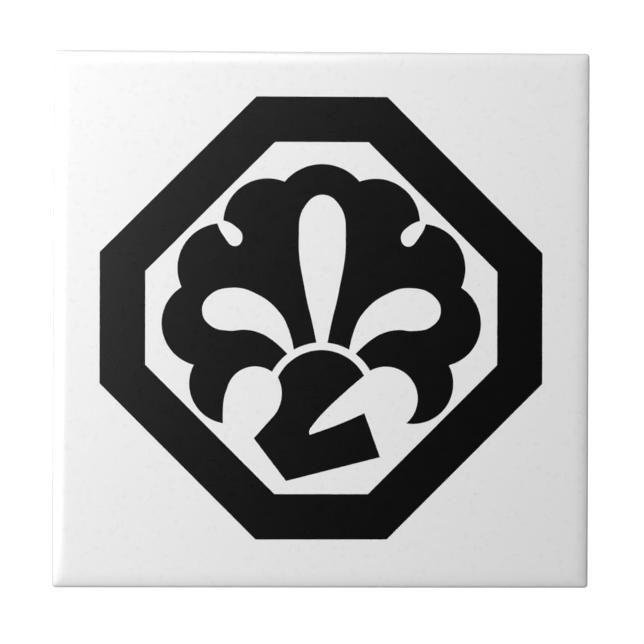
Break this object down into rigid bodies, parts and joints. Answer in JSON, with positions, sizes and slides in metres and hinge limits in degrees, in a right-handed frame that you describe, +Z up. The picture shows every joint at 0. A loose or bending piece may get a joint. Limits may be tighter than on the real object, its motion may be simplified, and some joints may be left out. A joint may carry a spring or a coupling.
{
  "type": "printed glazed wall tile",
  "caption": "Square glazed ceramic wall tile with softly rolled edges, a flat black printed leaf crest in a cut-corner frame, and a keyed unglazed back for adhesive.",
  "frame": {"origin": "centre of the back, on the plane of the wall that the tile is bedded on", "axes": "+Y out of the back into the wall, so the printed face looks along -Y; +Z up, towards the top of the printed crest; +X to the right as the face is seen"},
  "size_m": [0.108, 0.0064, 0.108],
  "materials": {
    "white_glaze": "gloss white glaze on the face and the front of the sides, with a flat black ceramic print fired into it; the back and the rear of the sides are bare off-white fired clay"
  },
  "bodies": {
    "root": {"glazed_tile": "white_glaze"}
  },
  "joints": []
}
